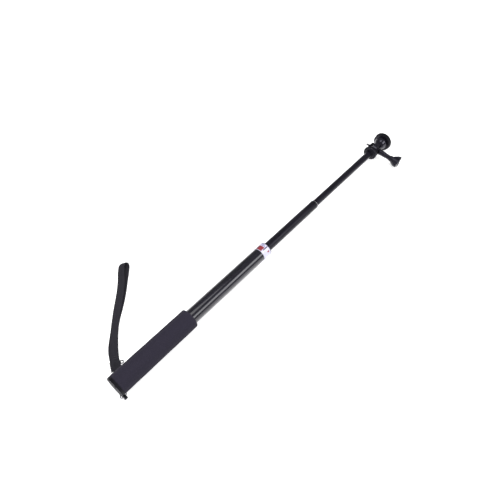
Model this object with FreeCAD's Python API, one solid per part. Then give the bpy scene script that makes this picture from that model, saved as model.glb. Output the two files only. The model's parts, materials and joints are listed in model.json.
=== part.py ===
import FreeCAD, Part
import math
import os
from FreeCAD import Vector as V

# Telescopic selfie stick: foam handle, three tubes with twist lock, tilting camera head, wrist strap.
# Design frame: rod axis along +X, x = 0 near the lower end of the foam, y = z = 0 on the rod axis.
# Every solid is moved at the end so that the origin is under the middle, on the resting surface.

# ---- driving dimensions, millimetres ----
FOAM_R = 14.0
FOAM_START = -1.5
FOAM_END = 115.0
MAIN_R = 10.25
MAIN_WALL = 1.0
MAIN_END = 264.0
TUBE2_R = 6.75
TUBE2_WALL = 0.8
TUBE2_START = 172.0
TUBE2_END = 380.0
TUBE3_R = 5.5
TUBE3_WALL = 0.7
TUBE3_START = 342.0
TUBE3_END = 546.0
RUNNING_GAP = 0.05          # radial clearance of every sliding or turning fit

CAP_R = 13.8
CAP_THICK = 4.2
CAP_END = FOAM_START - CAP_THICK
CAP_GROOVE = CAP_END + 2.0      # middle of a shallow groove round the rim
CAP_PLUG_END = 12.0
CAP_PLUG_BORE_R = 7.4
TAB_WALL = 1.3              # material round the strap hole
LABEL_LENGTH = 14.0
LABEL_THICK = 0.2
BUSH_LENGTH = 26.0
LOCK_STUD_R = 3.0
SPIGOT_R = 2.0
SPIGOT_LENGTH = 16.0

HUB_START = 540.3
HUB_R = 7.25
HUB_PIN_X = 544.8
HUB_PIN_R = 0.8
FLANGE_START = 543.5
FLANGE_END = 548.0
FLANGE_R = 11.7
PIVOT_X = 560.7
EAR_R = 7.5
EAR_THICK = 4.25
SLOT_HALF = 4.5             # half of the gap between the two ears
TONGUE_HALF = 4.0
TONGUE_R = 6.8
PIN_R = 2.0                 # clamp stud of the thumb screw
NUT_FLATS = 7.0
NUT_SEAT = 2.2
NUT_PROUD = 1.0
DOME_START = 571.1
DOME_FOOT_R = 6.0
DOME_TOP_R = 10.9
COLLAR_R = 12.2
PLATE_START = 582.7
PLATE_R = 15.0
WHEEL_START = 585.5
WHEEL_END = 590.0
WHEEL_R = 15.7
WHEEL_TEETH = 48
PAD_THICK = 1.2
SCREW_R = 3.175             # quarter-inch camera screw
SHANK_R = 3.5               # its plain shank, inside the head
SCREW_TIP = 596.8
HEAD_ROLL = 6.3             # degrees; the stick lies with its thumb screw down on the surface
KNOB_START = 9.6            # distances of the thumb screw's features from the rod axis
KNOB_END = 48.5
LOBE_R = 11.4
LOBE_CENTRE = 7.6
VALLEY_R = 8.03             # round hollows between the lobes
VALLEY_CENTRE = 13.63
STUD_SEAT = 30.0
STUD_TIP = 17.0
STUD_TIP_R = 1.4

RING_WIRE_R = 0.7
RING_R = 4.0
EYELET_R = 16.4             # distance of the strap hole from the rod axis
EYELET_ANGLE = 38.0         # below the horizontal, on the -Y side
EYELET_HOLE_R = 2.1

AXIS_HEIGHT = 15.7          # rod axis above the resting surface
ORIGIN_X = 295.55
ORIGIN_Y = -16.16

# ---- wrist strap, on the resting surface: x, y, height of the webbing's middle ----
WEB_WIDTH = 10.0
WEB_THICK = 0.7
TAPE_WIDTH = 5.0
STRAP_ROUTE = [
    (13.8, 30.0, 0.35), (18.7, 40.7, 0.35), (25.7, 50.7, 0.35), (36.2, 61.4, 0.35),
    (46.8, 72.0, 0.35), (57.3, 81.3, 0.35), (68.4, 89.9, 0.35), (80.7, 100.3, 0.35),
    (92.3, 111.3, 0.35), (104.2, 122.0, 0.35), (116.3, 135.4, 0.35), (116.3, 135.4, 15.0),
    (100.7, 122.8, 10.4), (85.9, 107.8, 4.8), (73.3, 96.4, 3.3), (56.6, 80.6, 3.3),
    (43.4, 66.9, 3.3), (31.8, 53.0, 3.3), (21.9, 40.3, 2.6), (15.4, 29.8, 1.15)]
FOLD_RADIUS = 1.05          # tape round the ring wire
KEEPER_LENGTH = 13.0
KEEPER_BACK = 9.5           # how far it reaches from the strap's ends towards the ring
KEEPER_WIDTH = 12.8
KEEPER_HEIGHT = 2.2
EYE_R = 1.9
EYE_WIRE_R = 0.4


def tube(radius, hole, start, end):
    """Round tube on the rod axis."""
    outer = Part.makeCylinder(radius, end - start, V(start, 0, 0), V(1, 0, 0))
    if hole <= 0:
        return outer
    return outer.cut(Part.makeCylinder(hole, end - start, V(start, 0, 0), V(1, 0, 0)))


def cross_rod(radius, low, high, x=PIVOT_X):
    """Round bar along Y through the tilt pivot."""
    return Part.makeCylinder(radius, high - low, V(x, low, 0), V(0, 1, 0))


def revolved(profile, about=V(1, 0, 0), base=V(0, 0, 0)):
    """Solid of revolution from points (position along the axis, radius)."""
    side = V(0, 0, 1)
    points = [base + about * along + side * radius for along, radius in profile]
    face = Part.Face(Part.makePolygon(points + [points[0]]))
    return face.revolve(base, about, 360)


def rounded_end_tube(radius, hole, start, end, blend):
    """Tube whose two outer edges are rounded."""
    body = tube(radius, hole, start, end)
    rims = [e for e in body.Edges if e.Closed and abs(e.Curve.Radius - radius) < 1e-6]
    return body.makeFillet(blend, rims)


def rolled(shape):
    """Turn a piece of the head about the rod axis, as the stick lies."""
    shape.rotate(V(0, 0, 0), V(1, 0, 0), HEAD_ROLL)
    return shape


def torus(centre, axis, radius, wire_radius):
    return Part.makeTorus(radius, wire_radius, centre, axis)


# ---- handle ----
def foam_grip():
    return rounded_end_tube(FOAM_R, MAIN_R, FOAM_START, FOAM_END, 1.0)


def main_tube():
    return tube(MAIN_R, MAIN_R - MAIN_WALL, FOAM_START, MAIN_END)


def lock_label():
    return tube(MAIN_R + LABEL_THICK, MAIN_R, MAIN_END - LABEL_LENGTH, MAIN_END)


def mouth_bush():
    """Guide bush in the mouth of the main tube, with a lip outside it."""
    hole = TUBE2_R + RUNNING_GAP
    sleeve = tube(MAIN_R - MAIN_WALL, hole, MAIN_END - BUSH_LENGTH + 2, MAIN_END)
    lip = revolved([(MAIN_END, hole), (MAIN_END, MAIN_R), (MAIN_END + 1.2, MAIN_R),
                    (MAIN_END + 2.0, MAIN_R - 1.2), (MAIN_END + 2.0, hole)])
    return sleeve.fuse(lip).removeSplitter()


def eyelet_centre():
    angle = math.radians(EYELET_ANGLE)
    return V(CAP_END + CAP_THICK / 2, -EYELET_R * math.cos(angle), -EYELET_R * math.sin(angle))


def end_cap():
    """Plug and rim that close the handle, with a tab for the strap ring."""
    plug = tube(MAIN_R - MAIN_WALL, CAP_PLUG_BORE_R, FOAM_START, CAP_PLUG_END)
    rim = revolved([(CAP_END, 0), (CAP_END, CAP_R - 1.2), (CAP_END + 1.2, CAP_R),
                    (CAP_GROOVE - 0.3, CAP_R), (CAP_GROOVE - 0.3, CAP_R - 0.5),
                    (CAP_GROOVE + 0.3, CAP_R - 0.5), (CAP_GROOVE + 0.3, CAP_R),
                    (FOAM_START, CAP_R), (FOAM_START, 0)])
    hole_centre = eyelet_centre()
    outward = V(0, hole_centre.y, hole_centre.z).normalize()
    root = hole_centre - outward * 5.0
    tab = tube(EYELET_HOLE_R + TAB_WALL, EYELET_HOLE_R, CAP_END, FOAM_START)
    neck = tube(EYELET_HOLE_R + TAB_WALL, 0, CAP_END, FOAM_START)
    bore = tube(EYELET_HOLE_R, 0, CAP_END - 1, FOAM_START + 1)
    for piece, place in ((tab, hole_centre), (neck, root), (bore, hole_centre)):
        piece.translate(V(0, place.y, place.z))
    return plug.fuse([rim, tab, neck]).cut(bore).removeSplitter()


# ---- first extension and its twist lock ----
SLEEVE2_START, SLEEVE2_END = 141.0, 168.0
STUD2_END = 134.0
CONE_START, CONE_END = 136.2, 150.0


def second_tube():
    return tube(TUBE2_R, TUBE2_R - TUBE2_WALL, TUBE2_START, TUBE2_END)


def lock_plug():
    """Plug in the lower end of the second tube, with the threaded lock stud."""
    inside = tube(TUBE2_R - TUBE2_WALL, 0, TUBE2_START, TUBE2_START + 12)
    collar = tube(TUBE2_R, 0, SLEEVE2_END + 0.3, TUBE2_START)
    stud = tube(LOCK_STUD_R, 0, STUD2_END, SLEEVE2_END + 0.3)
    return inside.fuse([collar, stud]).removeSplitter()


def stud_clip():
    """Retaining washer at the end of the lock stud."""
    return tube(5.5, 0, STUD2_END - 1.2, STUD2_END)


def expander_sleeve():
    """Split sleeve that the cone spreads against the main tube's wall."""
    outer = MAIN_R - MAIN_WALL - RUNNING_GAP
    bore = LOCK_STUD_R + RUNNING_GAP
    body = revolved([(SLEEVE2_START, 7.4), (SLEEVE2_START, outer), (SLEEVE2_END, outer),
                     (SLEEVE2_END, bore), (SLEEVE2_START + 13, bore), (SLEEVE2_START + 13, 4.2)])
    for quarter in range(4):
        slot = Part.makeBox(14, 20, 1.2, V(SLEEVE2_START - 1, 2.5, -0.6))
        slot.rotate(V(0, 0, 0), V(1, 0, 0), 45 + 90 * quarter)
        body = body.cut(slot)
    return body


def lock_cone():
    """Threaded cone on the lock stud."""
    bore = LOCK_STUD_R + RUNNING_GAP
    return revolved([(CONE_START, bore), (CONE_START, 7.0), (CONE_START + 3, 7.0),
                     (CONE_START + 5, 6.5), (CONE_END, 4.3), (CONE_END, bore)])


def mouth_ring():
    """Guide ring in the mouth of the second tube."""
    hole = TUBE3_R + RUNNING_GAP
    sleeve = tube(TUBE2_R - TUBE2_WALL, hole, TUBE2_END - 8, TUBE2_END)
    lip = revolved([(TUBE2_END, hole), (TUBE2_END, TUBE2_R), (TUBE2_END + 2.4, TUBE2_R),
                    (TUBE2_END + 3.2, TUBE2_R - 0.6), (TUBE2_END + 3.2, hole)])
    return sleeve.fuse(lip).removeSplitter()


# ---- second extension ----
COLLAR3_START = TUBE3_START - 1.5


def third_tube():
    body = tube(TUBE3_R, TUBE3_R - TUBE3_WALL, TUBE3_START, TUBE3_END)
    return body.cut(rolled(hub_pin_bore()))


def third_plug():
    """Plug in the lower end of the third tube, with the spigot of the friction sleeve."""
    inside = tube(TUBE3_R - TUBE3_WALL, 0, TUBE3_START, TUBE3_START + 10)
    collar = tube(TUBE3_R, 0, COLLAR3_START, TUBE3_START)
    spigot = tube(SPIGOT_R, 0, COLLAR3_START - SPIGOT_LENGTH, COLLAR3_START)
    return inside.fuse([collar, spigot]).removeSplitter()


def spigot_clip():
    end = COLLAR3_START - SPIGOT_LENGTH
    return tube(3.6, 0, end - 1.0, end)


def friction_sleeve():
    """Split sleeve that rubs inside the second tube."""
    outer = TUBE2_R - TUBE2_WALL - RUNNING_GAP
    start, end = COLLAR3_START - SPIGOT_LENGTH + 0.3, COLLAR3_START - 0.3
    body = tube(outer, SPIGOT_R + RUNNING_GAP, start, end)
    return body.cut(Part.makeBox(end - start + 2, 1.0, 8, V(start - 1, -0.5, 1.5)))


# ---- head, modelled level; rolled() turns it about the rod axis ----
def hub_pin_bore():
    return Part.makeCylinder(HUB_PIN_R, 2 * FLANGE_R + 1, V(HUB_PIN_X, 0, -FLANGE_R - 0.5), V(0, 0, 1))


def hub_pin():
    """Cross pin through the flange and the end of the third tube."""
    half = FLANGE_R - 0.4
    return Part.makeCylinder(HUB_PIN_R, 2 * half, V(HUB_PIN_X, 0, -half), V(0, 0, 1))


def ear_outline(radius, low, high):
    """Plate with a round end about the pivot, from y = low to y = high."""
    disc = cross_rod(radius, low, high)
    block = Part.makeBox(PIVOT_X - FLANGE_END + 0.5, high - low, 2 * radius,
                         V(FLANGE_END - 0.5, low, -radius))
    return disc.fuse(block)


def head_base():
    """Socket, flange and clevis on the top of the third tube."""
    socket = revolved([(HUB_START, TUBE3_R), (HUB_START, HUB_R - 0.6), (HUB_START + 0.6, HUB_R),
                       (FLANGE_START + 0.5, HUB_R), (FLANGE_START + 0.5, HUB_R + 1.6),
                       (FLANGE_START, HUB_R + 2.1), (FLANGE_START, FLANGE_R - 0.8),
                       (FLANGE_START + 0.8, FLANGE_R),
                       (FLANGE_END - 0.8, FLANGE_R), (FLANGE_END, FLANGE_R - 0.8),
                       (FLANGE_END, 0), (TUBE3_END, 0), (TUBE3_END, TUBE3_R)])
    outside = SLOT_HALF + EAR_THICK
    ears = [ear_outline(EAR_R, SLOT_HALF, outside), ear_outline(EAR_R, -outside, -SLOT_HALF)]
    body = socket.fuse(ears)
    body = body.cut(cross_rod(PIN_R + RUNNING_GAP, -outside - 1, outside + 1))
    return body.cut([hub_pin_bore(), hex_bar(outside - NUT_SEAT, outside + 1)]).removeSplitter()


def hex_bar(low, high):
    """Hexagonal bar along Y through the tilt pivot, as wide as the clamp nut."""
    corner = NUT_FLATS / 2 / math.cos(math.radians(30))
    points = [V(PIVOT_X + corner * math.cos(math.radians(60 * k)), low,
                corner * math.sin(math.radians(60 * k))) for k in range(7)]
    return Part.Face(Part.makePolygon(points)).extrude(V(0, high - low, 0))


def clamp_nut():
    outside = SLOT_HALF + EAR_THICK
    return hex_bar(outside - NUT_SEAT, outside + NUT_PROUD).cut(cross_rod(PIN_R + RUNNING_GAP, 0, 30))


def tilt_tongue():
    """Tongue between the ears, with the dome that carries the camera plate."""
    tongue = cross_rod(TONGUE_R, -TONGUE_HALF, TONGUE_HALF)
    neck = Part.makeBox(DOME_START + 1 - PIVOT_X, 2 * TONGUE_HALF, 11, V(PIVOT_X, -TONGUE_HALF, -5.5))
    foot = V(DOME_START, 0, DOME_FOOT_R)
    top = V(PLATE_START, 0, DOME_TOP_R)
    edges = [Part.LineSegment(V(DOME_START, 0, 0), foot).toShape(),
             Part.Arc(foot, V(DOME_START + 4.6, 0, 9.6), top).toShape(),
             Part.LineSegment(top, V(PLATE_START, 0, 0)).toShape(),
             Part.LineSegment(V(PLATE_START, 0, 0), V(DOME_START, 0, 0)).toShape()]
    dome = Part.Face(Part.Wire(edges)).revolve(V(0, 0, 0), V(1, 0, 0), 360)
    collar = tube(COLLAR_R, 0, PLATE_START - 1.0, PLATE_START)
    body = tongue.fuse([neck, dome, collar])
    body = body.cut(cross_rod(PIN_R + RUNNING_GAP, -30, 30))
    screw_room = tube(SHANK_R + RUNNING_GAP, 0, DOME_START + 3.5, PLATE_START + 1)
    clip_room = tube(5.6, 0, PLATE_START - 2.0, PLATE_START + 1)
    return body.cut([screw_room, clip_room]).removeSplitter()


def friction_washer(low, high):
    return cross_rod(TONGUE_R - 0.8, low, high).cut(cross_rod(PIN_R + RUNNING_GAP, low - 1, high + 1))


def camera_plate():
    hole = SHANK_R + 0.3
    return revolved([(PLATE_START, hole), (PLATE_START, PLATE_R - 0.6),
                     (PLATE_START + 0.6, PLATE_R), (WHEEL_START - 0.3, PLATE_R),
                     (WHEEL_START - 0.3, hole)])


def lock_wheel():
    """Knurled wheel that turns the camera screw."""
    points = []
    for step in range(2 * WHEEL_TEETH + 1):
        radius = WHEEL_R if step % 2 == 0 else WHEEL_R - 0.35
        angle = math.pi * step / WHEEL_TEETH
        points.append(V(WHEEL_START, radius * math.sin(angle), -radius * math.cos(angle)))
    body = Part.Face(Part.makePolygon(points)).extrude(V(WHEEL_END - WHEEL_START, 0, 0))
    return body.cut(tube(SHANK_R, 0, WHEEL_START - 1, WHEEL_END + 1))


def rubber_pad():
    return rounded_end_tube(WHEEL_R - 1.4, SHANK_R, WHEEL_END, WHEEL_END + PAD_THICK, 0.4)


def camera_screw():
    shoulder = WHEEL_END + PAD_THICK
    return revolved([(DOME_START + 4.0, 0), (DOME_START + 4.0, SHANK_R), (shoulder, SHANK_R),
                     (shoulder, SCREW_R), (SCREW_TIP - 0.8, SCREW_R), (SCREW_TIP, SCREW_R - 0.8),
                     (SCREW_TIP, 0)])


def screw_clip():
    return tube(5.2, SHANK_R, PLATE_START - 1.4, PLATE_START - 0.5)


def about_pivot(reach, degrees):
    """Point beside the tilt pivot, in the plane across its axis."""
    angle = math.radians(degrees)
    return V(PIVOT_X + reach * math.cos(angle), 0, reach * math.sin(angle))


def three_lobed_bar():
    """Bar along -Y with three round lobes joined by tangent hollows."""
    share = (LOBE_R - LOBE_CENTRE) / (LOBE_R - LOBE_CENTRE + VALLEY_R)
    edges = []
    for lobe in (60, 180, 300):
        centre, following = about_pivot(LOBE_CENTRE, lobe), about_pivot(LOBE_CENTRE, lobe + 120)
        before, after = about_pivot(VALLEY_CENTRE, lobe - 60), about_pivot(VALLEY_CENTRE, lobe + 60)
        start = centre + (before - centre) * share
        end = centre + (after - centre) * share
        far = following + (after - following) * share
        bottom = about_pivot(VALLEY_CENTRE - VALLEY_R, lobe + 60)
        edges.append(Part.Arc(start, about_pivot(LOBE_R, lobe), end).toShape())
        edges.append(Part.Arc(end, bottom, far).toShape())
    return Part.Face(Part.Wire(edges)).extrude(V(0, -KNOB_END - 1, 0))


def thumb_knob():
    """Long three-lobed thumb screw; its lobes flare at the far end."""
    outline = [(KNOB_START, PIN_R), (KNOB_START, 4.5), (KNOB_START + 1.2, 4.9), (KNOB_START + 9, 4.4),
               (KNOB_START + 19, 4.0), (KNOB_START + 25, 5.2), (KNOB_START + 30, 8.2),
               (KNOB_START + 33, 10.2), (KNOB_END - 3, LOBE_R), (KNOB_END - 0.6, LOBE_R),
               (KNOB_END, LOBE_R - 0.8), (KNOB_END, 0), (STUD_SEAT, 0), (STUD_SEAT, PIN_R)]
    return revolved(outline, V(0, -1, 0), V(PIVOT_X, 0, 0)).common(three_lobed_bar())


def thumb_stud():
    """Clamp stud with a thin pilot tip."""
    shoulder = STUD_TIP - 3.5
    outline = [(-STUD_SEAT, 0), (-STUD_SEAT, PIN_R), (shoulder, PIN_R), (shoulder + 0.6, STUD_TIP_R),
               (STUD_TIP - 0.4, STUD_TIP_R), (STUD_TIP, STUD_TIP_R - 0.4), (STUD_TIP, 0)]
    return revolved(outline, V(0, 1, 0), V(PIVOT_X, 0, 0))


def clamp_washer():
    outside = SLOT_HALF + EAR_THICK
    return cross_rod(4.6, -outside - 0.8, -outside).cut(cross_rod(PIN_R + RUNNING_GAP, -30, 30))


# ---- wrist strap ----
def surface_point(x, y, height):
    return V(x, y, height - AXIS_HEIGHT)


def corner_arc(before, corner, after, radius=None):
    """Tangent arc at a corner of the route: its start, end, centre, axis, angle and radius."""
    inward = (corner - before).normalize()
    outward = (after - corner).normalize()
    turn = inward.getAngle(outward)
    if radius is None:
        shorter = min((corner - before).Length, (after - corner).Length)
        radius = 0.45 * shorter / math.tan(turn / 2)
    back = radius * math.tan(turn / 2)
    axis = inward.cross(outward).normalize()
    start = corner - inward * back
    centre = start + axis.cross(inward) * radius
    return start, corner + outward * back, centre, axis, turn, radius


def ribbon_section(at, along, flat_side, width, thick):
    """Rectangle across the webbing; flat_side points along its width."""
    up = along.cross(flat_side).normalize()
    side = flat_side * (width / 2)
    rise = up * (thick / 2)
    corners = [at + side + rise, at - side + rise, at - side - rise, at + side - rise]
    return Part.Face(Part.makePolygon(corners + [corners[0]]))


def ribbon(points, width, thick, label):
    """Webbing of one width along straight runs joined by tangent arcs."""
    pieces = []
    along = (points[1] - points[0]).normalize()
    flat_side = along.cross(V(0, 0, 1)).normalize()
    at = points[0]
    length = 0.0
    radii = []
    for before, corner, after in zip(points, points[1:], points[2:]):
        start, end, centre, axis, turn, radius = corner_arc(before, corner, after)
        along = (corner - before).normalize()
        pieces.append(ribbon_section(at, along, flat_side, width, thick).extrude(start - at))
        degrees = math.degrees(turn)
        pieces.append(ribbon_section(start, along, flat_side, width, thick).revolve(centre, axis, degrees))
        flat_side = FreeCAD.Rotation(axis, degrees).multVec(flat_side)
        length += (start - at).Length + radius * turn
        radii.append(radius)
        at = end
    along = (points[-1] - points[-2]).normalize()
    pieces.append(ribbon_section(at, along, flat_side, width, thick).extrude(points[-1] - at))
    length += (points[-1] - at).Length
    body = pieces[0].fuse(pieces[1:])
    print(label, "length %.1f" % length, "volume ratio %.4f" % (body.Volume / (length * width * thick)),
          "radii", " ".join("%.1f" % r for r in radii))
    return body


def wrist_strap():
    return ribbon([surface_point(*p) for p in STRAP_ROUTE], WEB_WIDTH, WEB_THICK, "wrist strap")


def ring_bottom():
    """Point of the ring's wire that lies lowest, where the tape folds round it."""
    top = eyelet_centre()
    height = FOLD_RADIUS + WEB_THICK / 2 - AXIS_HEIGHT
    reach = math.sqrt((2 * RING_R) ** 2 - (top.z - height) ** 2)
    return V(top.x, top.y + reach, height)


def strap_ring():
    top = eyelet_centre()
    low = ring_bottom()
    across = (low - top).normalize()
    return torus((top + low) * 0.5, across.cross(V(1, 0, 0)), RING_R, RING_WIRE_R)


def strap_tape():
    """Narrow tape from the strap's ends round the ring and back."""
    low = ring_bottom()
    end = (surface_point(*STRAP_ROUTE[0]) + surface_point(*STRAP_ROUTE[-1])) * 0.5
    along = V(end.x - low.x, end.y - low.y, 0).normalize()
    fold = V(low.x, low.y, -AXIS_HEIGHT) - along * FOLD_RADIUS
    under = V(0, 0, WEB_THICK / 2)
    over = V(0, 0, WEB_THICK * 1.5 + 0.1)
    top = V(0, 0, WEB_THICK / 2 + 2 * FOLD_RADIUS)
    floor_end = V(end.x, end.y, -AXIS_HEIGHT) - along * 0.3
    route = [floor_end + over, fold + along * 6 + over, fold + top, fold + under, floor_end + under]
    return ribbon(route, TAPE_WIDTH, WEB_THICK, "strap tape")


def at_keeper(shape):
    """Place a shape modelled at the origin, along +X, at the strap's gathered ends."""
    middle = (surface_point(*STRAP_ROUTE[0]) + surface_point(*STRAP_ROUTE[-1])) * 0.5
    low = ring_bottom()
    heading = math.degrees(math.atan2(middle.y - low.y, middle.x - low.x))
    shape.rotate(V(0, 0, 0), V(0, 0, 1), heading)
    shape.translate(V(middle.x, middle.y, -AXIS_HEIGHT))
    return shape


def strap_keeper():
    """Crimp over the strap's ends and the tape, open to the surface below."""
    shell = Part.makeBox(KEEPER_LENGTH, KEEPER_WIDTH, KEEPER_HEIGHT,
                         V(-KEEPER_BACK, -KEEPER_WIDTH / 2, 0))
    top_edges = [e for e in shell.Edges if min(v.Z for v in e.Vertexes) > KEEPER_HEIGHT - 0.01]
    shell = shell.makeFillet(0.4, top_edges)
    room = Part.makeBox(KEEPER_LENGTH + 2, KEEPER_WIDTH - 0.8, KEEPER_HEIGHT - 0.5,
                        V(-KEEPER_BACK - 1, -KEEPER_WIDTH / 2 + 0.4, 0))
    return at_keeper(shell.cut(room))


def keeper_eye():
    """Small wire eye on the side of the crimp."""
    eye = torus(V(0, -KEEPER_WIDTH / 2 - EYE_R + 0.2, 1.0), V(0, 0, 1), EYE_R, EYE_WIRE_R)
    block = Part.makeBox(20, KEEPER_WIDTH, 10, V(-10, -KEEPER_WIDTH / 2, -5))
    return at_keeper(eye.cut(block))


def head_parts():
    return {
        "hub_pin": hub_pin(),
        "head_base": head_base(),
        "clamp_nut": clamp_nut(),
        "friction_washer_left": friction_washer(TONGUE_HALF, SLOT_HALF),
        "friction_washer_right": friction_washer(-SLOT_HALF, -TONGUE_HALF),
        "tilt_tongue": tilt_tongue(),
        "camera_plate": camera_plate(),
        "screw_clip": screw_clip(),
        "lock_wheel": lock_wheel(),
        "camera_screw": camera_screw(),
        "rubber_pad": rubber_pad(),
        "thumb_knob": thumb_knob(),
        "thumb_stud": thumb_stud(),
        "clamp_washer": clamp_washer(),
    }


def all_parts():
    parts = {
        "foam_grip": foam_grip(),
        "main_tube": main_tube(),
        "lock_label": lock_label(),
        "mouth_bush": mouth_bush(),
        "end_cap": end_cap(),
        "expander_sleeve": expander_sleeve(),
        "lock_cone": lock_cone(),
        "lock_plug": lock_plug(),
        "stud_clip": stud_clip(),
        "second_tube": second_tube(),
        "mouth_ring": mouth_ring(),
        "friction_sleeve": friction_sleeve(),
        "third_plug": third_plug(),
        "spigot_clip": spigot_clip(),
        "third_tube": third_tube(),
        "strap_ring": strap_ring(),
        "strap_tape": strap_tape(),
        "strap_keeper": strap_keeper(),
        "keeper_eye": keeper_eye(),
        "wrist_strap": wrist_strap(),
    }
    for name, shape in head_parts().items():
        parts[name] = rolled(shape)
    for shape in parts.values():
        shape.translate(V(-ORIGIN_X, -ORIGIN_Y, AXIS_HEIGHT))
    return parts


os.makedirs("parts", exist_ok=True)
rigid_box = FreeCAD.BoundBox()
for name, shape in all_parts().items():
    if not shape.isValid():
        print("not valid:", name)
    shape.exportStep("parts/" + name + ".step")
    box = shape.optimalBoundingBox(False)
    if not (name.startswith("strap") or name in ("wrist_strap", "keeper_eye")):
        rigid_box.add(box)
    print("%-22s %9.1f mm3  solids %d  x %.1f..%.1f  y %.1f..%.1f  z %.2f..%.2f" % (
        name, shape.Volume, len(shape.Solids), box.XMin, box.XMax, box.YMin, box.YMax, box.ZMin, box.ZMax))
print("rigid box", rigid_box)
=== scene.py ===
import json
import math

import bpy
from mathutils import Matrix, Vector, noise


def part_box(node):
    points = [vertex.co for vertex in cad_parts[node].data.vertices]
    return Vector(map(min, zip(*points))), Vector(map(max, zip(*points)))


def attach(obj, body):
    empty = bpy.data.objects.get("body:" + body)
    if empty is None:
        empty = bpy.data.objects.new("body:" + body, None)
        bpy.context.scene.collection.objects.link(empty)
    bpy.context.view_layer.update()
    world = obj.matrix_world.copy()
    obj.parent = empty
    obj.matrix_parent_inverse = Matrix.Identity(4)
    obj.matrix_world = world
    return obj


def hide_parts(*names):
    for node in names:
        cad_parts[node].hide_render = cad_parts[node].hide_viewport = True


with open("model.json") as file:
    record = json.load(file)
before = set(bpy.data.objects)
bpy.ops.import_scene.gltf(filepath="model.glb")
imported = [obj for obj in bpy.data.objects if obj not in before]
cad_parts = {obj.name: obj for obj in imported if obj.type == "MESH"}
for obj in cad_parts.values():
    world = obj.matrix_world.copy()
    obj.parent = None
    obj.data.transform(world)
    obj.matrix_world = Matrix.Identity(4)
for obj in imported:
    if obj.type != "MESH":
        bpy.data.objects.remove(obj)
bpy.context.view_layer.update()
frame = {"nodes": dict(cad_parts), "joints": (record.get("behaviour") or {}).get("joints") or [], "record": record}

# Looks for a telescopic selfie stick that lies on a pale table: foam grip, painted tubes, camera head and
# wrist strap. Metres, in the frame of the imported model: +X along the rod to the head, +Z up.

MM = 0.001


def middle(node):
    low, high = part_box(node)
    return (Vector(low) + Vector(high)) / 2


def span(node):
    """Lowest and highest x of a CAD node."""
    low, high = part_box(node)
    return low[0], high[0]


def outer_radius(node):
    """Radius of a round CAD node that has its axis along X."""
    low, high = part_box(node)
    return (high[1] - low[1]) / 2


ALONG = Vector((1, 0, 0))
UP = Vector((0, 0, 1))
AXIS = middle("main_tube")                          # the rod axis passes through here, along X
TILT = next(j for j in frame["joints"] if j["name"] == "head_tilt")
PIVOT = Vector(TILT["pos_m"])
SCREW_SIDE = -Vector(TILT["axis"]).normalized()     # the thumb screw points this way
SCREW_BORE = 3.52 * MM                              # hole for the camera screw in the wheel and the pad

WEB_WIDTH = 10.0 * MM
TAPE_WIDTH = 5.0 * MM
WEB_THICK = 0.7 * MM
EYE_R = 1.9 * MM
EYE_WIRE_R = 0.6 * MM
RING_WIRE_R = 0.7 * MM
GRIP_LIP = 1.5 * MM                                 # the grip starts this far before its corner
GRIP_CORNER = Vector((span("foam_grip")[0] + GRIP_LIP, AXIS.y, 0))    # on the floor, below the rod's axis


def on_axis(x):
    """Point of the rod axis."""
    return Vector((x, AXIS.y, AXIS.z))


def on_table(along, left, height):
    """Point of the strap: distance along its line at 45 degrees from the grip's foot, offset, height."""
    return (along - left) * math.sqrt(0.5), (along + left) * math.sqrt(0.5), height


STRAP_ROUTE = [on_table(*place) for place in [
    (30.97, 11.46, 0.36), (42, 15.6, 0.36), (54, 17.9, 0.36), (69, 17.8, 0.36), (84, 17.9, 0.36),
    (98, 17.1, 0.36), (112, 15.2, 0.4), (126, 14.0, 0.6), (140, 13.5, 1.2), (156, 13.0, 2.3),
    (168, 12.3, 2.7), (180.5, 12.4, 2.9), (180.5, 17.8, 9.8), (165, 17.6, 9.8), (147, 15.4, 7.6),
    (131, 15.7, 5.3), (114, 16.7, 4.3), (95, 17.1, 4.1), (78, 16.7, 4.05), (60, 15.1, 4.0),
    (44, 13.0, 2.8), (31.96, 10.18, 1.15)]]

scene = bpy.context.scene


# ---- camera, light and floor ----
CAMERA_PLACE = Vector((-39.0, -237.48, 507.91)) * MM    # from the grip's corner
CAMERA_PITCH, CAMERA_HEADING = 37.86, -48.63            # degrees
CAMERA_LENS, CAMERA_SENSOR = 31.32, 36.0
FLOOR_HALF = 3.0
FLOOR_DROP = 0.05 * MM                                  # keeps the floor clear of the strap's lower face


def add_camera():
    data = bpy.data.cameras.new("camera")
    data.sensor_width = CAMERA_SENSOR
    data.lens = CAMERA_LENS
    camera = bpy.data.objects.new("camera", data)
    camera.location = GRIP_CORNER + CAMERA_PLACE
    camera.rotation_euler = (math.radians(CAMERA_PITCH), 0, math.radians(CAMERA_HEADING))
    scene.collection.objects.link(camera)
    scene.camera = camera


def add_area(name, direction, distance, size, power, mirrored=True):
    data = bpy.data.lights.new(name, "AREA")
    data.shape = "RECTANGLE"
    data.size, data.size_y = size
    data.energy = power
    light = bpy.data.objects.new(name, data)
    light.visible_glossy = mirrored
    out = Vector(direction).normalized()
    light.location = AXIS + out * distance
    light.rotation_euler = out.to_track_quat("Z", "Y").to_euler()
    scene.collection.objects.link(light)


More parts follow.
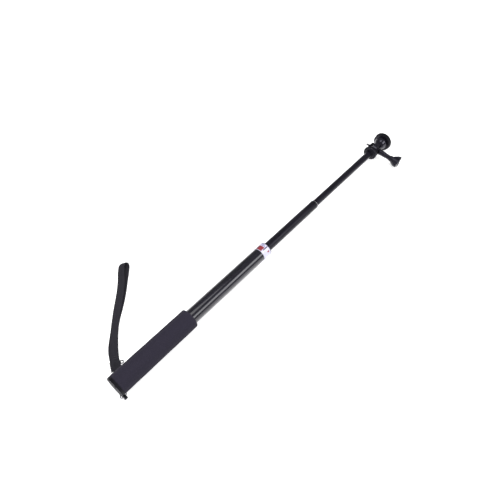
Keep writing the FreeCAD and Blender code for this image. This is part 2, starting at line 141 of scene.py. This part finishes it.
def add_stage():
    mesh = bpy.data.meshes.new("floor")
    corners = [(-1, -1), (1, -1), (1, 1), (-1, 1)]
    mesh.from_pydata([(x * FLOOR_HALF, y * FLOOR_HALF, 0) for x, y in corners], [], [(0, 1, 2, 3)])
    floor = bpy.data.objects.new("floor", mesh)
    floor.location.z = -FLOOR_DROP
    scene.collection.objects.link(floor)
    surface = Material("floor_paper", (0.70, 0.70, 0.70), 0.8)
    surface.set(Emission_Color=(1, 1, 1, 1), Emission_Strength=0.62)
    mesh.materials.append(surface.data)
    world = bpy.data.worlds.new("studio")
    world.use_nodes = True
    background = world.node_tree.nodes["Background"]
    background.inputs["Color"].default_value = (1.0, 1.0, 1.0, 1)
    background.inputs["Strength"].default_value = 0.25
    scene.world = world
    scene.view_settings.view_transform = "Standard"
    add_area("side", (0.42, -0.79, 0.62), 1.3, (1.0, 0.5), 7)
    add_area("top", (0.13, 0.06, 0.98), 1.5, (0.7, 0.7), 4)
    add_area("ceiling", (0, 0, 1), 1.6, (2.4, 2.4), 55, mirrored=False)


# ---- materials ----
class Material:
    """A principled material whose colour, roughness and bump come from procedural nodes."""

    def __init__(self, name, colour, roughness, metallic=0.0, shine=0.24):
        self.data = bpy.data.materials.new(name)
        self.data.use_nodes = True
        self.nodes = self.data.node_tree.nodes
        self.links = self.data.node_tree.links
        self.shader = self.nodes["Principled BSDF"]
        self.shader.inputs["Base Color"].default_value = (*colour, 1)
        self.shader.inputs["Roughness"].default_value = roughness
        self.shader.inputs["Metallic"].default_value = metallic
        self.shader.inputs["Specular IOR Level"].default_value = 0.5 if metallic else shine
        self.shader.inputs["Specular Tint"].default_value = (0.86, 0.84, 1.0, 1)
        self.colour = colour
        self.height = None

    def set(self, **values):
        for name, value in values.items():
            self.shader.inputs[name.replace("_", " ")].default_value = value
        return self

    def node(self, kind, **values):
        made = self.nodes.new(kind)
        for name, value in values.items():
            setattr(made, name, value)
        return made

    def place(self, stretch=(1, 1, 1)):
        """Object coordinates in metres, stretched along each axis."""
        source = self.node("ShaderNodeTexCoord")
        mapping = self.node("ShaderNodeMapping")
        mapping.inputs["Scale"].default_value = stretch
        self.links.new(source.outputs["Object"], mapping.inputs["Vector"])
        return mapping.outputs["Vector"]

    def grain(self, size, detail=3.0, stretch=(1, 1, 1)):
        made = self.node("ShaderNodeTexNoise")
        made.inputs["Scale"].default_value = 1.0 / size
        made.inputs["Detail"].default_value = detail
        made.inputs["Roughness"].default_value = 0.6
        self.links.new(self.place(stretch), made.inputs["Vector"])
        return made.outputs["Fac"]

    def cells(self, size):
        made = self.node("ShaderNodeTexVoronoi")
        made.inputs["Scale"].default_value = 1.0 / size
        self.links.new(self.place(), made.inputs["Vector"])
        return made.outputs["Distance"]

    def rod_place(self):
        """Place along the rod, then the offsets from the rod axis to the left and up."""
        parts = self.node("ShaderNodeSeparateXYZ")
        self.links.new(self.place(), parts.inputs["Vector"])
        across = self.math("SUBTRACT", parts.outputs["Y"], AXIS.y)
        rise = self.math("SUBTRACT", parts.outputs["Z"], AXIS.z)
        return parts.outputs["X"], across, rise

    def math(self, operation, a, b=None):
        made = self.node("ShaderNodeMath", operation=operation)
        for socket, value in zip(made.inputs, (a, b)):
            if value is None:
                continue
            if isinstance(value, (int, float)):
                socket.default_value = value
            else:
                self.links.new(value, socket)
        return made.outputs[0]

    def span(self, value, low, high, out_low, out_high):
        made = self.node("ShaderNodeMapRange")
        limits = {"From Min": low, "From Max": high, "To Min": out_low, "To Max": out_high}
        for name, number in limits.items():
            made.inputs[name].default_value = number
        self.links.new(value, made.inputs["Value"])
        return made.outputs["Result"]

    def tint(self, value, other, low=0.4, high=0.6):
        """Mix the base colour towards another where value is high."""
        mix = self.node("ShaderNodeMix", data_type="RGBA")
        source = self.shader.inputs["Base Color"]
        if source.is_linked:
            self.links.new(source.links[0].from_socket, mix.inputs["A"])
        else:
            mix.inputs["A"].default_value = source.default_value[:]
        mix.inputs["B"].default_value = (*other, 1)
        self.links.new(self.span(value, low, high, 0, 1), mix.inputs["Factor"])
        self.links.new(mix.outputs["Result"], source)
        return self

    def rough(self, value, low, high):
        self.links.new(self.span(value, 0.3, 0.7, low, high), self.shader.inputs["Roughness"])
        return self

    def bump(self, value, depth, strength=1.0):
        made = self.node("ShaderNodeBump")
        made.inputs["Distance"].default_value = depth
        made.inputs["Strength"].default_value = strength
        self.links.new(value, made.inputs["Height"])
        if self.height is not None:
            self.links.new(self.height, made.inputs["Normal"])
        self.height = made.outputs["Normal"]
        self.links.new(self.height, self.shader.inputs["Normal"])
        return self


def foam_material():
    made = Material("foam", (0.0315, 0.0290, 0.0430), 0.95)
    made.set(Sheen_Weight=0.02, Sheen_Roughness=0.6, Specular_IOR_Level=0.1)
    made.tint(made.grain(9 * MM, 4), (0.042, 0.039, 0.057), 0.35, 0.75)
    made.tint(made.cells(0.55 * MM), (0.018, 0.016, 0.025), 0.0, 0.4)
    made.rough(made.grain(1.2 * MM), 0.85, 1.0)
    made.bump(made.cells(0.55 * MM), 0.06 * MM, 0.6)
    made.bump(made.grain(2.2 * MM, 5), 0.08 * MM, 0.4)
    return made.data


def paint_material(name, colour, roughness, coat):
    """Painted or anodised tube, with faint lengthwise drawing marks and handling smears."""
    made = Material(name, colour, roughness, 0.0)
    made.set(Coat_Weight=coat, Coat_Roughness=0.08)
    made.tint(made.grain(14 * MM, 4, (0.25, 1, 1)), tuple(c * 1.7 + 0.001 for c in colour), 0.4, 0.8)
    made.rough(made.grain(6 * MM, 5, (0.2, 1, 1)), roughness * 0.8, roughness * 1.35)
    made.bump(made.grain(0.5 * MM, 3, (0.02, 1, 1)), 0.006 * MM, 0.5)
    made.bump(made.grain(0.25 * MM, 2), 0.004 * MM, 0.4)
    return made.data


def plastic_material(name, colour, roughness, texture=0.35, shine=0.24):
    """Moulded plastic with a spark-eroded skin; texture is the size of its grain in millimetres."""
    made = Material(name, colour, roughness, 0.0, shine)
    made.tint(made.grain(5 * MM, 4), tuple(c * 1.6 + 0.001 for c in colour), 0.4, 0.8)
    made.rough(made.grain(2.5 * MM, 4), roughness * 0.85, roughness * 1.2)
    made.bump(made.grain(texture * MM, 3), 0.012 * MM, 0.6)
    return made.data


def metal_material(name, colour, roughness):
    made = Material(name, colour, roughness, 1.0)
    made.tint(made.grain(3 * MM, 4), tuple(c * 0.8 for c in colour), 0.4, 0.8)
    made.rough(made.grain(0.8 * MM, 4), roughness * 0.7, roughness * 1.4)
    made.bump(made.grain(0.2 * MM, 3, (0.1, 1, 1)), 0.004 * MM, 0.5)
    return made.data


def rubber_material():
    made = Material("pad_rubber", (0.022, 0.022, 0.024), 0.8)
    made.tint(made.grain(4 * MM, 4), (0.040, 0.040, 0.043), 0.4, 0.8)
    made.rough(made.grain(1.5 * MM), 0.7, 0.95)
    made.bump(made.grain(0.3 * MM, 4), 0.02 * MM, 0.7)
    return made.data


def label_material():
    """Pale film with a red panel and a few plain marks, laid out along the rod and round it."""
    made = Material("label_film", (0.50, 0.49, 0.60), 0.32)
    made.set(Coat_Weight=0.5, Coat_Roughness=0.1)
    x, across, rise = made.rod_place()
    angle = made.math("ARCTAN2", rise, across)
    along = made.span(x, *span("lock_label"), 0, 1)

    def box(low_x, high_x, low_a, high_a):
        """One inside a stretch of the label's length and, in degrees, of its turn."""
        inside = made.math("MULTIPLY", made.math("GREATER_THAN", along, low_x),
                           made.math("LESS_THAN", along, high_x))
        turn = made.math("MULTIPLY", made.math("GREATER_THAN", angle, math.radians(low_a)),
                         made.math("LESS_THAN", angle, math.radians(high_a)))
        return made.math("MULTIPLY", inside, turn)

    red, deep_red, light_red = (0.19, 0.022, 0.030), (0.10, 0.014, 0.024), (0.24, 0.03, 0.04)
    blue, ink = (0.13, 0.12, 0.26), (0.05, 0.04, 0.07)
    marks = [((0.05, 0.62, 48, 104), red), ((0.05, 0.62, 48, 66), deep_red), ((0.10, 0.50, -70, -10), red)]
    for step in range(3):
        low = 0.68 + 0.11 * step
        marks.append(((low, low + 0.06, 50, 104 - 8 * step), blue))
    marks += [((0.30, 0.98, 107, 115), ink), ((0.60, 0.85, 140, 152), light_red)]
    made.tint(made.grain(6 * MM), (0.44, 0.43, 0.55), 0.4, 0.8)
    for place, colour in marks:
        made.tint(box(*place), colour)
    made.bump(made.grain(0.8 * MM, 3), 0.006 * MM, 0.5)
    return made.data


def highlight_line_material(name, colour, roughness, metallic, low, high, bright, broken=0.0, inner=0.0):
    """Dark material with a painted highlight: a brighter line between two places along the rod and outside an
    inner radius.
    """
    made = Material(name, colour, roughness, metallic)
    x, across, rise = made.rod_place()
    inside = made.math("MULTIPLY", made.math("GREATER_THAN", x, low), made.math("LESS_THAN", x, high))
    square = made.math("ADD", made.math("MULTIPLY", across, across), made.math("MULTIPLY", rise, rise))
    inside = made.math("MULTIPLY", inside, made.math("GREATER_THAN", square, inner * inner))
    patchy = made.span(made.grain(2.2 * MM, 2), 0.35, 0.65, 1 - broken, 1)
    made.tint(made.grain(4 * MM, 4), tuple(c * 1.5 + 0.002 for c in colour), 0.4, 0.8)
    # Painted highlight: the colour is lightened along the line and broken into patches by the broken amount.
    made.tint(made.math("MULTIPLY", inside, patchy), bright, 0.0, 1.0)
    made.rough(made.grain(2 * MM, 4), roughness * 0.85, roughness * 1.2)
    made.bump(made.grain(0.35 * MM, 3), 0.008 * MM, 0.5)
    return made.data


def webbing_material():
    """Woven nylon: ribs across the width and yarns along it, from the ribbon's own coordinates."""
    made = Material("webbing_weave", (0.0108, 0.0100, 0.0132), 0.85)
    made.set(Sheen_Weight=0.05, Sheen_Roughness=0.45, Specular_IOR_Level=0.15)
    source = made.node("ShaderNodeUVMap", uv_map="weave")
    parts = made.node("ShaderNodeSeparateXYZ")
    made.links.new(source.outputs["UV"], parts.inputs["Vector"])
    along, across = parts.outputs["X"], parts.outputs["Y"]
    chevron = made.math("FRACT", made.math("MULTIPLY", across, 2))
    lean = made.math("ABSOLUTE", made.math("SUBTRACT", chevron, 0.5))
    slanted = made.math("ADD", along, made.math("MULTIPLY", lean, 5))
    twill = made.math("SINE", made.math("MULTIPLY", slanted, 2 * math.pi))
    yarn = made.math("SINE", made.math("MULTIPLY", across, 2 * math.pi * 11))
    weave = made.math("ADD", made.math("MULTIPLY", twill, 0.5), made.math("MULTIPLY", yarn, 0.35))
    made.tint(made.span(weave, -0.85, 0.85, 0, 1), (0.029, 0.028, 0.034), 0.35, 0.95)
    made.tint(made.grain(6 * MM, 4), (0.019, 0.018, 0.022), 0.4, 0.8)
    made.bump(weave, 0.07 * MM, 0.8)
    made.bump(made.grain(0.25 * MM, 3), 0.03 * MM, 0.5)
    return made.data


def thread_material():
    made = Material("sewing_thread", (0.05, 0.05, 0.055), 0.6)
    made.tint(made.grain(0.5 * MM), (0.10, 0.10, 0.11), 0.4, 0.8)
    made.bump(made.grain(0.2 * MM), 0.02 * MM)
    return made.data


# ---- mesh helpers ----
def new_object(name, vertices, faces, material, smooth_angle=35):
    mesh = bpy.data.meshes.new(name)
    mesh.from_pydata([tuple(v) for v in vertices], [], faces)
    mesh.update()
    made = bpy.data.objects.new(name, mesh)
    scene.collection.objects.link(made)
    mesh.materials.append(material)
    for polygon in mesh.polygons:
        polygon.use_smooth = True
    mesh.set_sharp_from_angle(angle=math.radians(smooth_angle))
    return made


def skin(name, rings, material, closed=False, smooth_angle=35):
    """Mesh over rings of points, with the last ring joined to the first, or both ends capped."""
    count = len(rings[0])
    vertices = [p for ring in rings for p in ring]
    faces = []
    total = len(rings)
    for row in range(total if closed else total - 1):
        here = row * count
        there = ((row + 1) % total) * count
        for k in range(count):
            after = (k + 1) % count
            faces.append((here + k, here + after, there + after, there + k))
    if not closed:
        faces.append(tuple(reversed(range(count))))
        faces.append(tuple(range((total - 1) * count, total * count)))
    return new_object(name, vertices, faces, material, smooth_angle)


def cross_axes(axis):
    """Two directions at right angles to an axis that isn't upright, and to each other."""
    side = axis.cross(UP).normalized()
    return side, axis.cross(side).normalized()


def turned(name, base, axis, profile, material, steps=96, shape=None, closed=True, smooth_angle=35):
    """Turned piece. profile holds (distance along the axis, radius); shape may change the radius."""
    side, rise = cross_axes(axis)
    rings = []
    for along, radius in profile:
        ring = []
        for k in range(steps):
            angle = 2 * math.pi * k / steps
            r = shape(along, radius, angle) if shape else radius
            ring.append(base + axis * along + side * (r * math.cos(angle)) + rise * (r * math.sin(angle)))
        rings.append(ring)
    return skin(name, rings, material, closed, smooth_angle)


def rounded(corner_x, corner_r, radius, start, sweep, count=6):
    """Points of an arc in a profile, about (corner_x, corner_r)."""
    points = []
    for k in range(count + 1):
        angle = math.radians(start + sweep * k / count)
        points.append((corner_x + radius * math.cos(angle), corner_r + radius * math.sin(angle)))
    return points


def blend_at(table, value):
    """Smooth value from a short list of (position, value) pairs."""
    for (x0, y0), (x1, y1) in zip(table, table[1:]):
        if value <= x1:
            t = max(0.0, min(1.0, (value - x0) / (x1 - x0)))
            t = t * t * (3 - 2 * t)
            return y0 + (y1 - y0) * t
    return table[-1][1]


# ---- foam grip ----
def foam_grip():
    """Foam sleeve with rounded rims and a slightly uneven skin."""
    start, end = span("foam_grip")
    length = end - start
    outer = outer_radius("foam_grip")
    corner = 1.1 * MM
    bore = outer_radius("main_tube") + 0.02 * MM
    profile = [(0, bore)]
    profile += rounded(corner, outer - corner, corner, 180, -90)
    steps = 150
    profile += [(corner + (length - 2 * corner) * k / steps, outer) for k in range(1, steps)]
    profile += rounded(length - corner, outer - corner, corner, 90, -90)
    profile += [(length, bore)]
    inset, swell, dimple = 0.14 * MM, 0.16 * MM, 0.05 * MM

    def shape(along, radius, angle):
        if radius <= bore:
            return radius
        place = Vector((along * 60, math.cos(angle) * 0.9, math.sin(angle) * 0.9))
        fine = Vector((along * 420, math.cos(angle) * 6, math.sin(angle) * 6))
        return radius - inset + noise.noise(place) * swell + noise.noise(fine) * dimple

    made = turned("foam_grip_cover", on_axis(start), ALONG, profile, foam_material(), 144, shape)
    finish_piece(made, "handle", "foam", "foam_grip")


def finish_piece(made, body, slot, *nodes):
    """Say which body the piece moves with and the CAD nodes that it replaces; slot is not used."""
    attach(made, body)
    if nodes:
        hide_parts(*nodes)


# ---- head ----
KNOB_START, KNOB_END = 9.6 * MM, 48.5 * MM          # from the tilt axis, along the thumb screw
KNOB_WIDEST = 11.4 * MM
KNOB_OUTLINE = [(0, 4.5), (1.5, 4.9), (9, 4.4), (19, 4.0), (25, 5.2), (30, 8.2), (33, 10.2), (36, 11.4),
                (39, 11.5)]                         # distance from the start and radius, millimetres
LOBE_CENTRE, LOBE_ROUND = 7.6 * MM, 3.8 * MM        # arcs of the three-lobed outline
VALLEY_CENTRE, VALLEY_R = 13.63 * MM, 8.03 * MM
LOBE_REACH = 27.3                                   # degrees from a lobe's middle to the end of its arc


def lobed(degrees):
    """Radius of the three-lobed outline at an angle from the middle of a lobe."""
    def arc(centre, radius, angle, side):
        return centre * math.cos(angle) + side * math.sqrt(radius ** 2 - (centre * math.sin(angle)) ** 2)

    away = abs((degrees + 60) % 120 - 60)
    if away < LOBE_REACH:
        return arc(LOBE_CENTRE, LOBE_ROUND, math.radians(away), 1)
    return arc(VALLEY_CENTRE, VALLEY_R, math.radians(60 - away), -1)


def thumb_knob():
    """Long three-lobed thumb screw that flares to its end."""
    hub, bore = 3.8 * MM, 2.05 * MM
    recess_r, recess_depth = 4.4 * MM, 0.9 * MM
    melt = 0.5 * MM                                 # softens the change from round to lobed
    outline = [(KNOB_START + along * MM, radius * MM) for along, radius in KNOB_OUTLINE]
    profile = [(KNOB_START, bore), (KNOB_START, hub)]
    steps = 80
    for k in range(steps):
        along = KNOB_START + 0.4 * MM + (KNOB_END - KNOB_START - 1.0 * MM) * k / (steps - 1)
        profile.append((along, min(KNOB_WIDEST, blend_at(outline, along))))
    for back, inset in ((0.3, 0.2), (0.08, 0.5), (0, 1.0)):
        profile.append((KNOB_END - back * MM, KNOB_WIDEST - inset * MM))
    floor = KNOB_END - recess_depth
    profile += [(KNOB_END, recess_r), (floor, hub), (floor, 0.4 * MM)]
    side, rise = cross_axes(SCREW_SIDE)

    def shape(along, radius, angle):
        if along > KNOB_END - 1.0 * MM and radius < 5 * MM:
            return radius
        direction = side * math.cos(angle) + rise * math.sin(angle)
        limit = lobed(math.degrees(math.atan2(direction.z, direction.x)) - 60)
        inset = KNOB_WIDEST - radius if along > KNOB_END - 0.5 * MM else 0
        full = radius + inset
        gap = math.sqrt((full - limit) ** 2 + melt ** 2)
        return (full + limit - gap) / 2 - inset

    material = plastic_material("knob_plastic", (0.0048, 0.0044, 0.0076), 0.32, 0.35, 0.35)
    made = turned("thumb_screw_knob", PIVOT, SCREW_SIDE, profile, material, 144, shape, closed=False,
                  smooth_angle=50)
    finish_piece(made, "thumb_screw", "plastic", "thumb_knob")


def threaded_rod(name, base, axis, shank, radius, depth, pitch, start, end, material, pilot=None):
    """Rod with a plain shank up to start, a thread to end and, if asked, a thin pilot beyond."""
    profile = [(0, shank), (start, shank)]
    rows = round((end - start) / pitch * 10)
    profile += [(start + (end - start) * k / rows, radius) for k in range(rows + 1)]
    if pilot:
        reach, thin = pilot
        profile += [(end, thin), (reach - 0.3 * MM, thin), (reach, thin - 0.3 * MM), (reach, 0.1 * MM)]
    else:
        profile += [(end, radius - depth * 2.2), (end, 0.1 * MM)]

    def shape(along, r, angle):
        if along < start or abs(r - radius) > 1e-7:
            return r
        phase = (along / pitch - angle / (2 * math.pi)) % 1.0
        groove = depth * (1 - abs(2 * phase - 1)) ** 0.9
        edge = min(1.0, (end - along) / (1.2 * pitch) + 0.2)
        return r - groove - depth * 1.3 * (1 - edge)

    return turned(name, base, axis, profile, material, 48, shape, closed=False, smooth_angle=60)


def camera_screw():
    """Quarter-inch screw with twenty threads to the inch, and a plain shank inside the wheel."""
    start, tip = span("camera_screw")
    shank, radius, depth, pitch = 3.49 * MM, 3.17 * MM, 0.55 * MM, 1.27 * MM
    pad_face = span("rubber_pad")[1]
    material = metal_material("black_zinc", (0.30, 0.30, 0.32), 0.32)
    made = threaded_rod("camera_screw_thread", on_axis(start), ALONG, shank, radius, depth, pitch,
                        pad_face - start, tip - start, material)
    finish_piece(made, "wheel", "dark_steel", "camera_screw")


def thumb_stud():
    """Clamp stud: threaded where it leaves the nut, with a thin pilot tip."""
    seat = 30.0 * MM                                # depth of the stud in the knob, from the tilt axis
    radius, depth, pitch = 2.0 * MM, 0.32 * MM, 0.7 * MM
    pilot = (seat + 17.0 * MM, 1.4 * MM)
    material = metal_material("stud_zinc", (0.07, 0.07, 0.075), 0.35)
    made = threaded_rod("thumb_stud_thread", PIVOT + SCREW_SIDE * seat, -SCREW_SIDE, radius, radius, depth,
                        pitch, seat + 6.0 * MM, seat + 13.6 * MM, material, pilot)
    finish_piece(made, "thumb_screw", "dark_steel", "thumb_stud")


def lock_wheel():
    """Wheel with a rounded straight knurl and a recessed groove on its handle side."""
    start, end = span("lock_wheel")
    width = end - start
    r = outer_radius("lock_wheel")
    teeth, tooth_depth = 48, 0.38 * MM
    groove = [(0, 4.5), (0.5, 4.0), (0.5, 2.6), (0, 2.1)]       # depth, and distance in from the rim
    rim = [(0, 0.8), (0.25, 0.3), (0.7, 0), (1.5, 0)]
    profile = [(0, SCREW_BORE)]
    profile += [(x * MM, r - inset * MM) for x, inset in groove + rim]
    profile += [(width - x * MM, r - inset * MM) for x, inset in reversed(rim)]
    profile.append((width, SCREW_BORE))

    def shape(along, radius, angle):
        if radius < r - 0.35 * MM:
            return radius
        return radius - tooth_depth * (1 - abs(math.sin(teeth * angle / 2)) ** 0.7)

    material = plastic_material("wheel_plastic", (0.0028, 0.0028, 0.0034), 0.42)
    made = turned("lock_wheel_knurled", on_axis(start), ALONG, profile, material, 8 * teeth, shape,
                  smooth_angle=30)
    finish_piece(made, "wheel", "plastic", "lock_wheel")


def rubber_pad():
    """Pad with concentric ribs on its face."""
    start, end = span("rubber_pad")
    height = end - start
    outer = outer_radius("rubber_pad")
    bevel, rib_depth = 0.3 * MM, 0.35 * MM
    profile = [(0, SCREW_BORE), (0, outer), (height - bevel, outer), (height, outer - bevel)]
    ribs = 7
    pitch = (outer - SCREW_BORE - 1.2 * MM) / ribs
    for k in range(ribs):
        edge = outer - 0.6 * MM - pitch * k
        profile += [(height, edge), (height - rib_depth, edge - pitch * 0.25),
                    (height - rib_depth, edge - pitch * 0.5), (height, edge - pitch * 0.75)]
    profile.append((height, SCREW_BORE))
    made = turned("rubber_pad_ribbed", on_axis(start), ALONG, profile, rubber_material(), 96)
    finish_piece(made, "wheel", "pad_rubber", "rubber_pad")


# ---- wrist strap ----
LEAN_RISE = 0.33                                    # slope of the width where the loop turns back
LEAN_TABLE = [(0, 1), (11 * MM, 1), (46 * MM, 0)]   # share of the lean, by distance from the apex
GATHER_TABLE = [(0, 0.35), (2 * MM, 0.5), (9 * MM, 1)]      # width of the left half, by the same distance
WEAVE_PITCH = 1.1 * MM


def route_points(route, spacing):
    """Points evenly spaced along the smooth spline that has the route as its control points."""
    curve = bpy.data.curves.new("route", "CURVE")
    curve.dimensions = "3D"
    curve.resolution_u = 24
    spline = curve.splines.new("NURBS")
    spline.points.add(len(route) - 1)
    for point, place in zip(spline.points, route):
        point.co = (*(GRIP_CORNER + Vector(place) * MM), 1)
    spline.order_u = 3
    spline.use_endpoint_u = True
    # The curve is turned into a mesh for its points, and both are then removed.
    carrier = bpy.data.objects.new("route", curve)
    scene.collection.objects.link(carrier)
    bpy.context.view_layer.update()
    mesh = bpy.data.meshes.new_from_object(carrier)
    line = [v.co.copy() for v in mesh.vertices]
    bpy.data.objects.remove(carrier)
    bpy.data.meshes.remove(mesh)
    total = sum((b - a).length for a, b in zip(line, line[1:]))
    count = round(total / spacing)
    gap = total / count
    even = [line[0]]
    walked = 0.0
    for a, b in zip(line, line[1:]):
        step = (b - a).length
        while len(even) < count and walked + step >= gap * len(even):
            even.append(a.lerp(b, (gap * len(even) - walked) / step))
        walked += step
    even.append(line[-1])
    return even


def web_frames(path, apex=None):
    """Direction, width and face normal at each point.

    The width lies level, except about the apex, where the loop's end leans over to its left."""
    right = Vector(on_table(0, -1, 0)).normalized()
    leaning = (right + UP * LEAN_RISE).normalized()
    gap = (path[1] - path[0]).length
    frames = []
    width = right
    for k, point in enumerate(path):
        ahead = path[min(k + 1, len(path) - 1)]
        behind = path[max(k - 1, 0)]
        along = (ahead - behind).normalized()
        level = along.cross(UP).normalized()
        if level.dot(width) < 0:
            level = -level
        lean = 0 if apex is None else blend_at(LEAN_TABLE, abs(k - apex) * gap)
        width = level.lerp(leaning, lean)
        width = (width - along * width.dot(along)).normalized()
        frames.append((point, along, width, width.cross(along).normalized()))
    return frames


def webbing(name, path, width, thick, material, apex=None):
    """Flat webbing with rounded selvedges, and its own weave coordinates.

    The left selvedge is gathered in where the loop turns back."""
    across = 12
    section = []
    for k in range(across + 1):
        t = -1 + 2 * k / across
        bulge = math.sqrt(max(0.0, 1 - abs(t) ** 9))
        section.append((t * width / 2, bulge * thick / 2, k / across))
    ring = section + [(s, -h, v) for s, h, v in reversed(section[1:-1])]
    gap = (path[1] - path[0]).length
    rings = []
    for k, (point, along, side, up) in enumerate(web_frames(path, apex)):
        left = 1 if apex is None else blend_at(GATHER_TABLE, abs(k - apex) * gap)
        rings.append([point + side * (s if s > 0 else s * left) + up * h for s, h, _ in ring])
    made = skin(name, rings, material, smooth_angle=60)
    layer = made.data.uv_layers.new(name="weave")
    count = len(ring)
    for polygon in made.data.polygons:
        for corner in polygon.loop_indices:
            row, k = divmod(made.data.loops[corner].vertex_index, count)
            layer.data[corner].uv = (row * gap / WEAVE_PITCH, ring[k][2])
    return made


def wrist_strap():
    """The loop, the tape to the ring, the stitching and the keeper's eye, all moving with the strap."""
    path = route_points(STRAP_ROUTE, 0.6 * MM)
    apex = max(range(len(path)), key=lambda k: path[k].x + path[k].y)
    weave = webbing_material()
    strap = webbing("wrist_strap_web", path, WEB_WIDTH, WEB_THICK, weave, apex)
    finish_piece(strap, "strap", "webbing", "wrist_strap")
    tape = strap_tape(weave)
    finish_piece(tape, "strap", "webbing", "strap_tape")
    stitches = strap_stitches(path)
    finish_piece(stitches, "strap", "webbing")
    eye = keeper_eye()
    finish_piece(eye, "strap", "steel", "keeper_eye")


def strap_stitches(path):
    """Two rows of sewing thread across the strap's upper layer, beyond the keeper."""
    frames = web_frames(path)
    vertices, faces = [], []
    sides, stitches, pitch = 8, 6, 1.15 * MM
    bulge = [(-0.42, 0.02), (-0.3, 0.13), (0, 0.17), (0.3, 0.13), (0.42, 0.02)]     # reach and radius, mm
    for row in (-12, -16):
        point, along, side, up = frames[row]
        if up.z < 0:
            up = -up
        for k in range(stitches):
            centre = point + side * ((k - (stitches - 1) / 2) * pitch) + up * (WEB_THICK / 2)
            first = len(vertices)
            for reach, radius in bulge:
                for turn in range(sides):
                    angle = 2 * math.pi * turn / sides
                    vertices.append(centre + side * (reach * MM) + along * (radius * MM * math.cos(angle))
                                    + up * (radius * MM * math.sin(angle)))
            last = first + (len(bulge) - 1) * sides
            for here in range(first, last, sides):
                for turn in range(sides):
                    after = (turn + 1) % sides
                    faces.append((here + turn, here + after, here + sides + after, here + sides + turn))
            faces.append(tuple(reversed(range(first, first + sides))))
            faces.append(tuple(range(last, last + sides)))
    return new_object("strap_stitching", vertices, faces, thread_material(), 60)


def keeper_eye():
    """Small wire eye on the side of the keeper."""
    centre = middle("keeper_eye")
    turns, sides = 40, 12
    rings = []
    for k in range(turns):
        turn = 2 * math.pi * k / turns
        out = Vector((math.cos(turn), math.sin(turn), 0))
        ring = []
        for step in range(sides):
            angle = 2 * math.pi * step / sides
            ring.append(centre + out * (EYE_R + EYE_WIRE_R * math.cos(angle))
                        + UP * (EYE_WIRE_R * math.sin(angle)))
        rings.append(ring)
    material = metal_material("eye_steel", (0.010, 0.010, 0.012), 0.35)
    return skin("keeper_eye_wire", rings, material, True, 60)


def strap_tape(weave):
    """Narrow tape from the strap's ends, round the ring's wire and back.

    Its route is in millimetres from the grip's corner, like the strap's."""
    ends = (Vector(STRAP_ROUTE[0]) + Vector(STRAP_ROUTE[-1])) / 2
    ring_middle = Vector((middle("strap_ring").x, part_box("strap_ring")[1][1] - RING_WIRE_R, 0))
    fold = (ring_middle - GRIP_CORNER) / MM
    along = Vector((ends.x - fold.x, ends.y - fold.y, 0)).normalized()
    low, high, over = UP * 0.37, UP * 1.15, UP * 2.5
    foot = ends.xy.to_3d()
    tip = fold - along * 1.25
    route = [foot + high, fold + along * 14 + high, fold + along * 5 + UP * 1.2,
             fold + along * 1.5 + UP * 2.45, tip + over, tip + low, fold + along * 3 + low,
             fold + along * 14 + low, foot + low]
    path = route_points(route, 0.4 * MM)
    return webbing("strap_tape_web", path, TAPE_WIDTH, WEB_THICK, weave)


# ---- materials of the CAD nodes that stay ----
def paint_nodes():
    """Give each CAD node the look of its material slot, or a look of its own."""
    cap_edge = span("end_cap")[0]
    ring_end = span("mouth_ring")[1]
    hub_start = span("head_base")[0]
    looks = {
        "tube_gloss": paint_material("gloss_paint", (0.0036, 0.0033, 0.0060), 0.27, 0.9),
        "tube_satin": paint_material("satin_paint", (0.0036, 0.0031, 0.0056), 0.32, 0.05),
        "plastic": plastic_material("black_nylon", (0.0032, 0.0029, 0.0048), 0.45),
        "plastic_gloss": plastic_material("gloss_black", (0.004, 0.0036, 0.0062), 0.16, 0.8, 0.6),
        "nylon": plastic_material("natural_nylon", (0.60, 0.58, 0.54), 0.5),
        "steel": metal_material("bright_steel", (0.78, 0.78, 0.80), 0.2),
        "dark_steel": metal_material("dark_steel", (0.035, 0.035, 0.038), 0.4),
        # The mouth ring's lip is a polished chamfer; the brightness of its line is a painted highlight.
        "ring_metal": highlight_line_material("ring_metal", (0.05, 0.05, 0.055), 0.3, 1.0, ring_end - 0.9 * MM,
                                     ring_end + 1 * MM, (0.85, 0.85, 0.87)),
        "label": label_material(),
        "crimp": plastic_material("black_crimp", (0.010, 0.0097, 0.012), 0.55)}
    nodes_apart = {
        # The end cap's light broken line at its rim is a painted highlight.
        "end_cap": highlight_line_material("cap_nylon", (0.0020, 0.0019, 0.0028), 0.6, 0.0, cap_edge - 0.1 * MM,
                                  cap_edge + 0.8 * MM, (0.20, 0.20, 0.21), 0.95, 12.9 * MM),
        # The light ring on the head base's flange is a painted highlight.
        "head_base": highlight_line_material("base_nylon", (0.0016, 0.0014, 0.0028), 0.5, 0.0, hub_start + 3.3 * MM,
                                    hub_start + 3.8 * MM, (0.035, 0.033, 0.045), 0.6)}
    slots = {row["node"]: row["material_slot"] for row in frame["record"]["subparts"]}
    for name, node in frame["nodes"].items():
        look = nodes_apart.get(name, looks.get(slots[name]))
        if look is None:
            continue
        for holder in node.material_slots:
            holder.material = look


add_camera()
add_stage()
paint_nodes()
foam_grip()
thumb_knob()
thumb_stud()
lock_wheel()
rubber_pad()
camera_screw()
wrist_strap()
